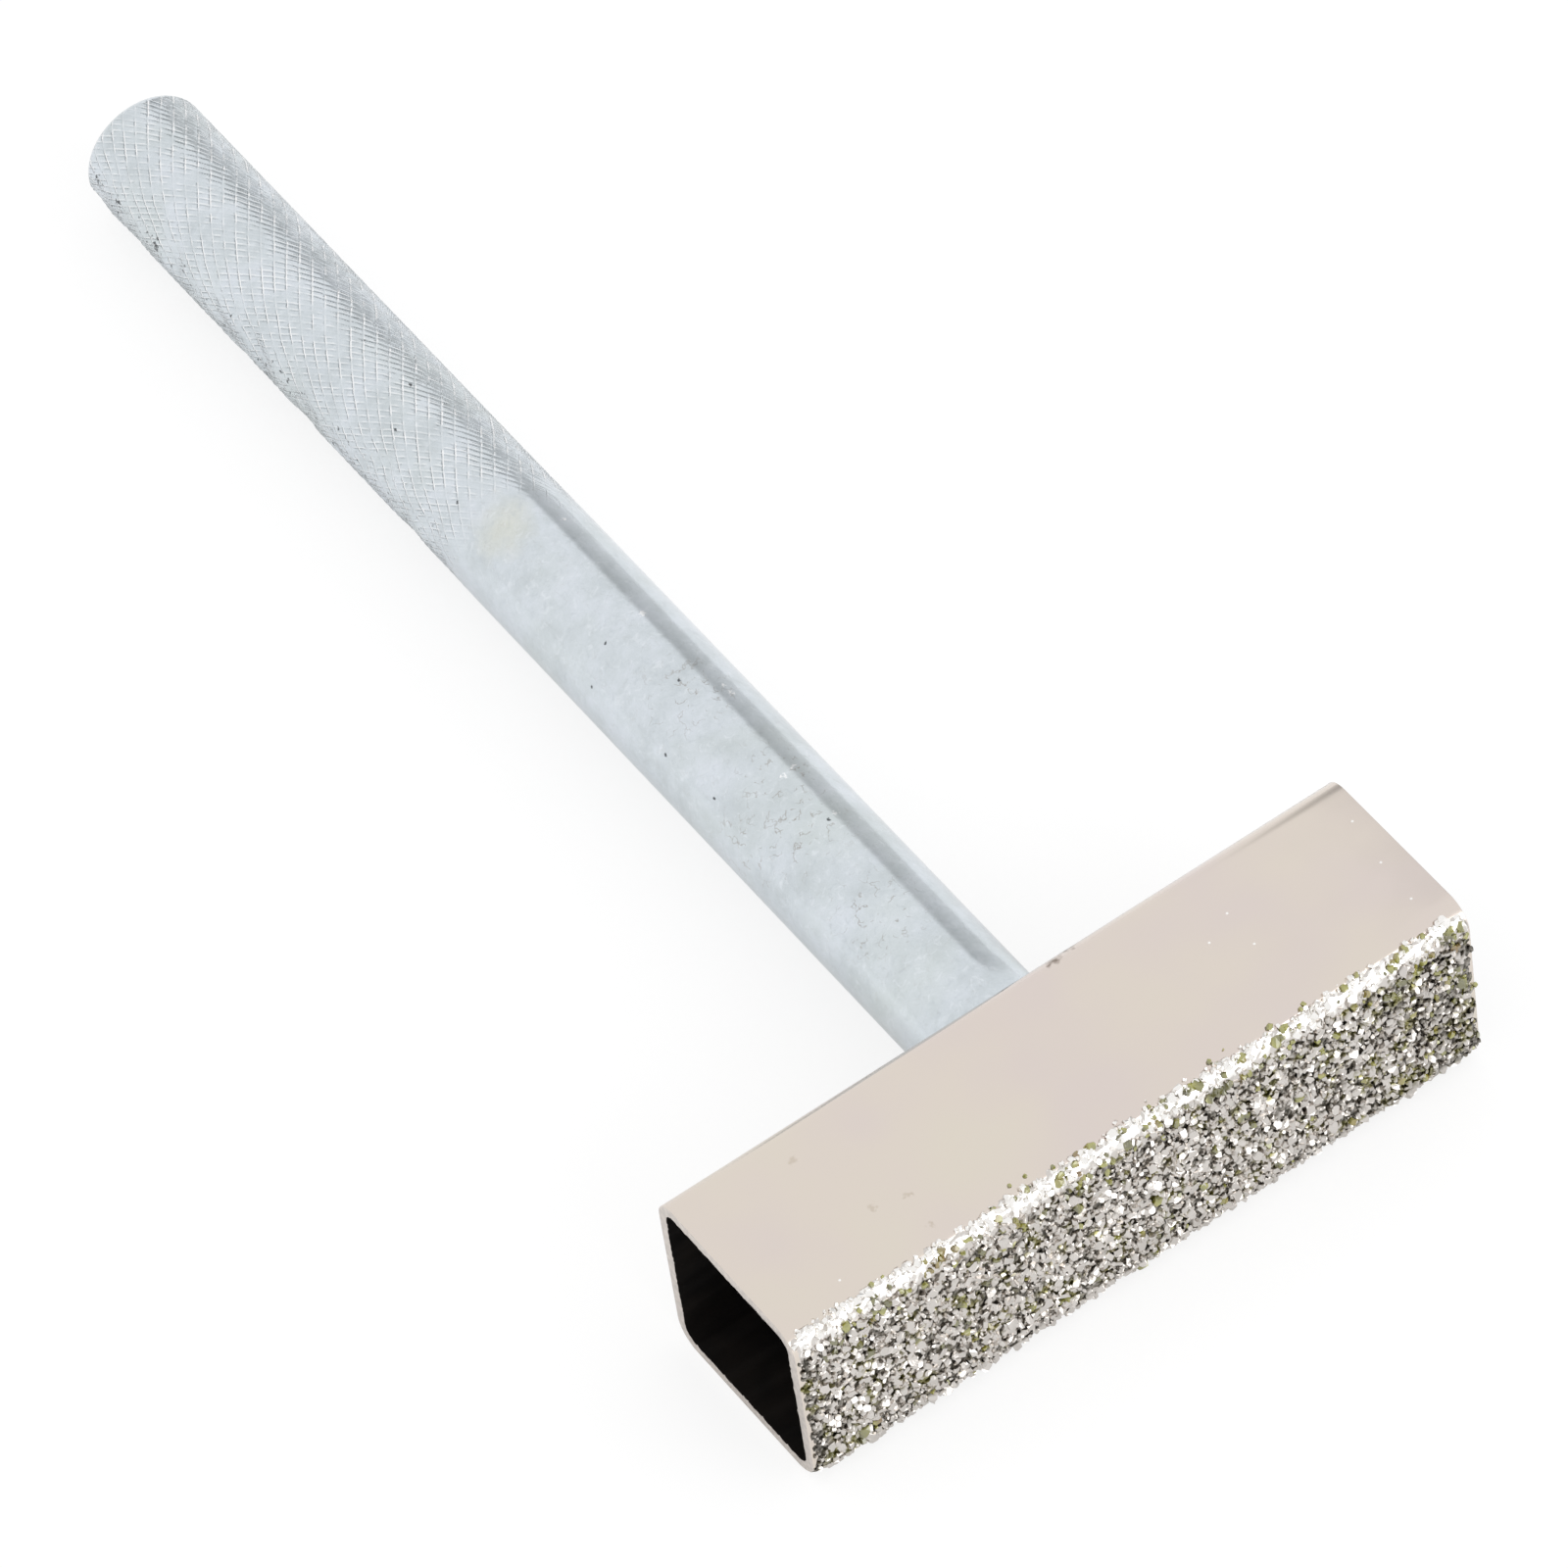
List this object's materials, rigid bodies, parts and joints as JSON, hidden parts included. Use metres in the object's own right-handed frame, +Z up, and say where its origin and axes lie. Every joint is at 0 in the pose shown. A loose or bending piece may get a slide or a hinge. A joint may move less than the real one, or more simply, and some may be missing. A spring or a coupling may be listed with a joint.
{
  "type": "diamond wheel dresser",
  "caption": "Hand dresser for grinding wheels: a square tube head coated with diamond grit on its front face, and a round rod handle with a knurled grip.",
  "frame": {"origin": "middle of the head tube's underside", "axes": "+X along the head tube, +Y along the handle to its free end, with the grit face on the -Y side, +Z up"},
  "size_m": [0.045, 0.1003, 0.0127],
  "materials": {
    "nickel_plate": "satin bright nickel plate on steel tube",
    "zinc_plate": "matte pale zinc plate on turned steel",
    "diamond_grit": "coarse diamond grit bonded in electroplated nickel"
  },
  "bodies": {
    "root": {"head_tube": "nickel_plate", "handle": "zinc_plate", "diamond_layer": "diamond_grit"}
  },
  "joints": []
}
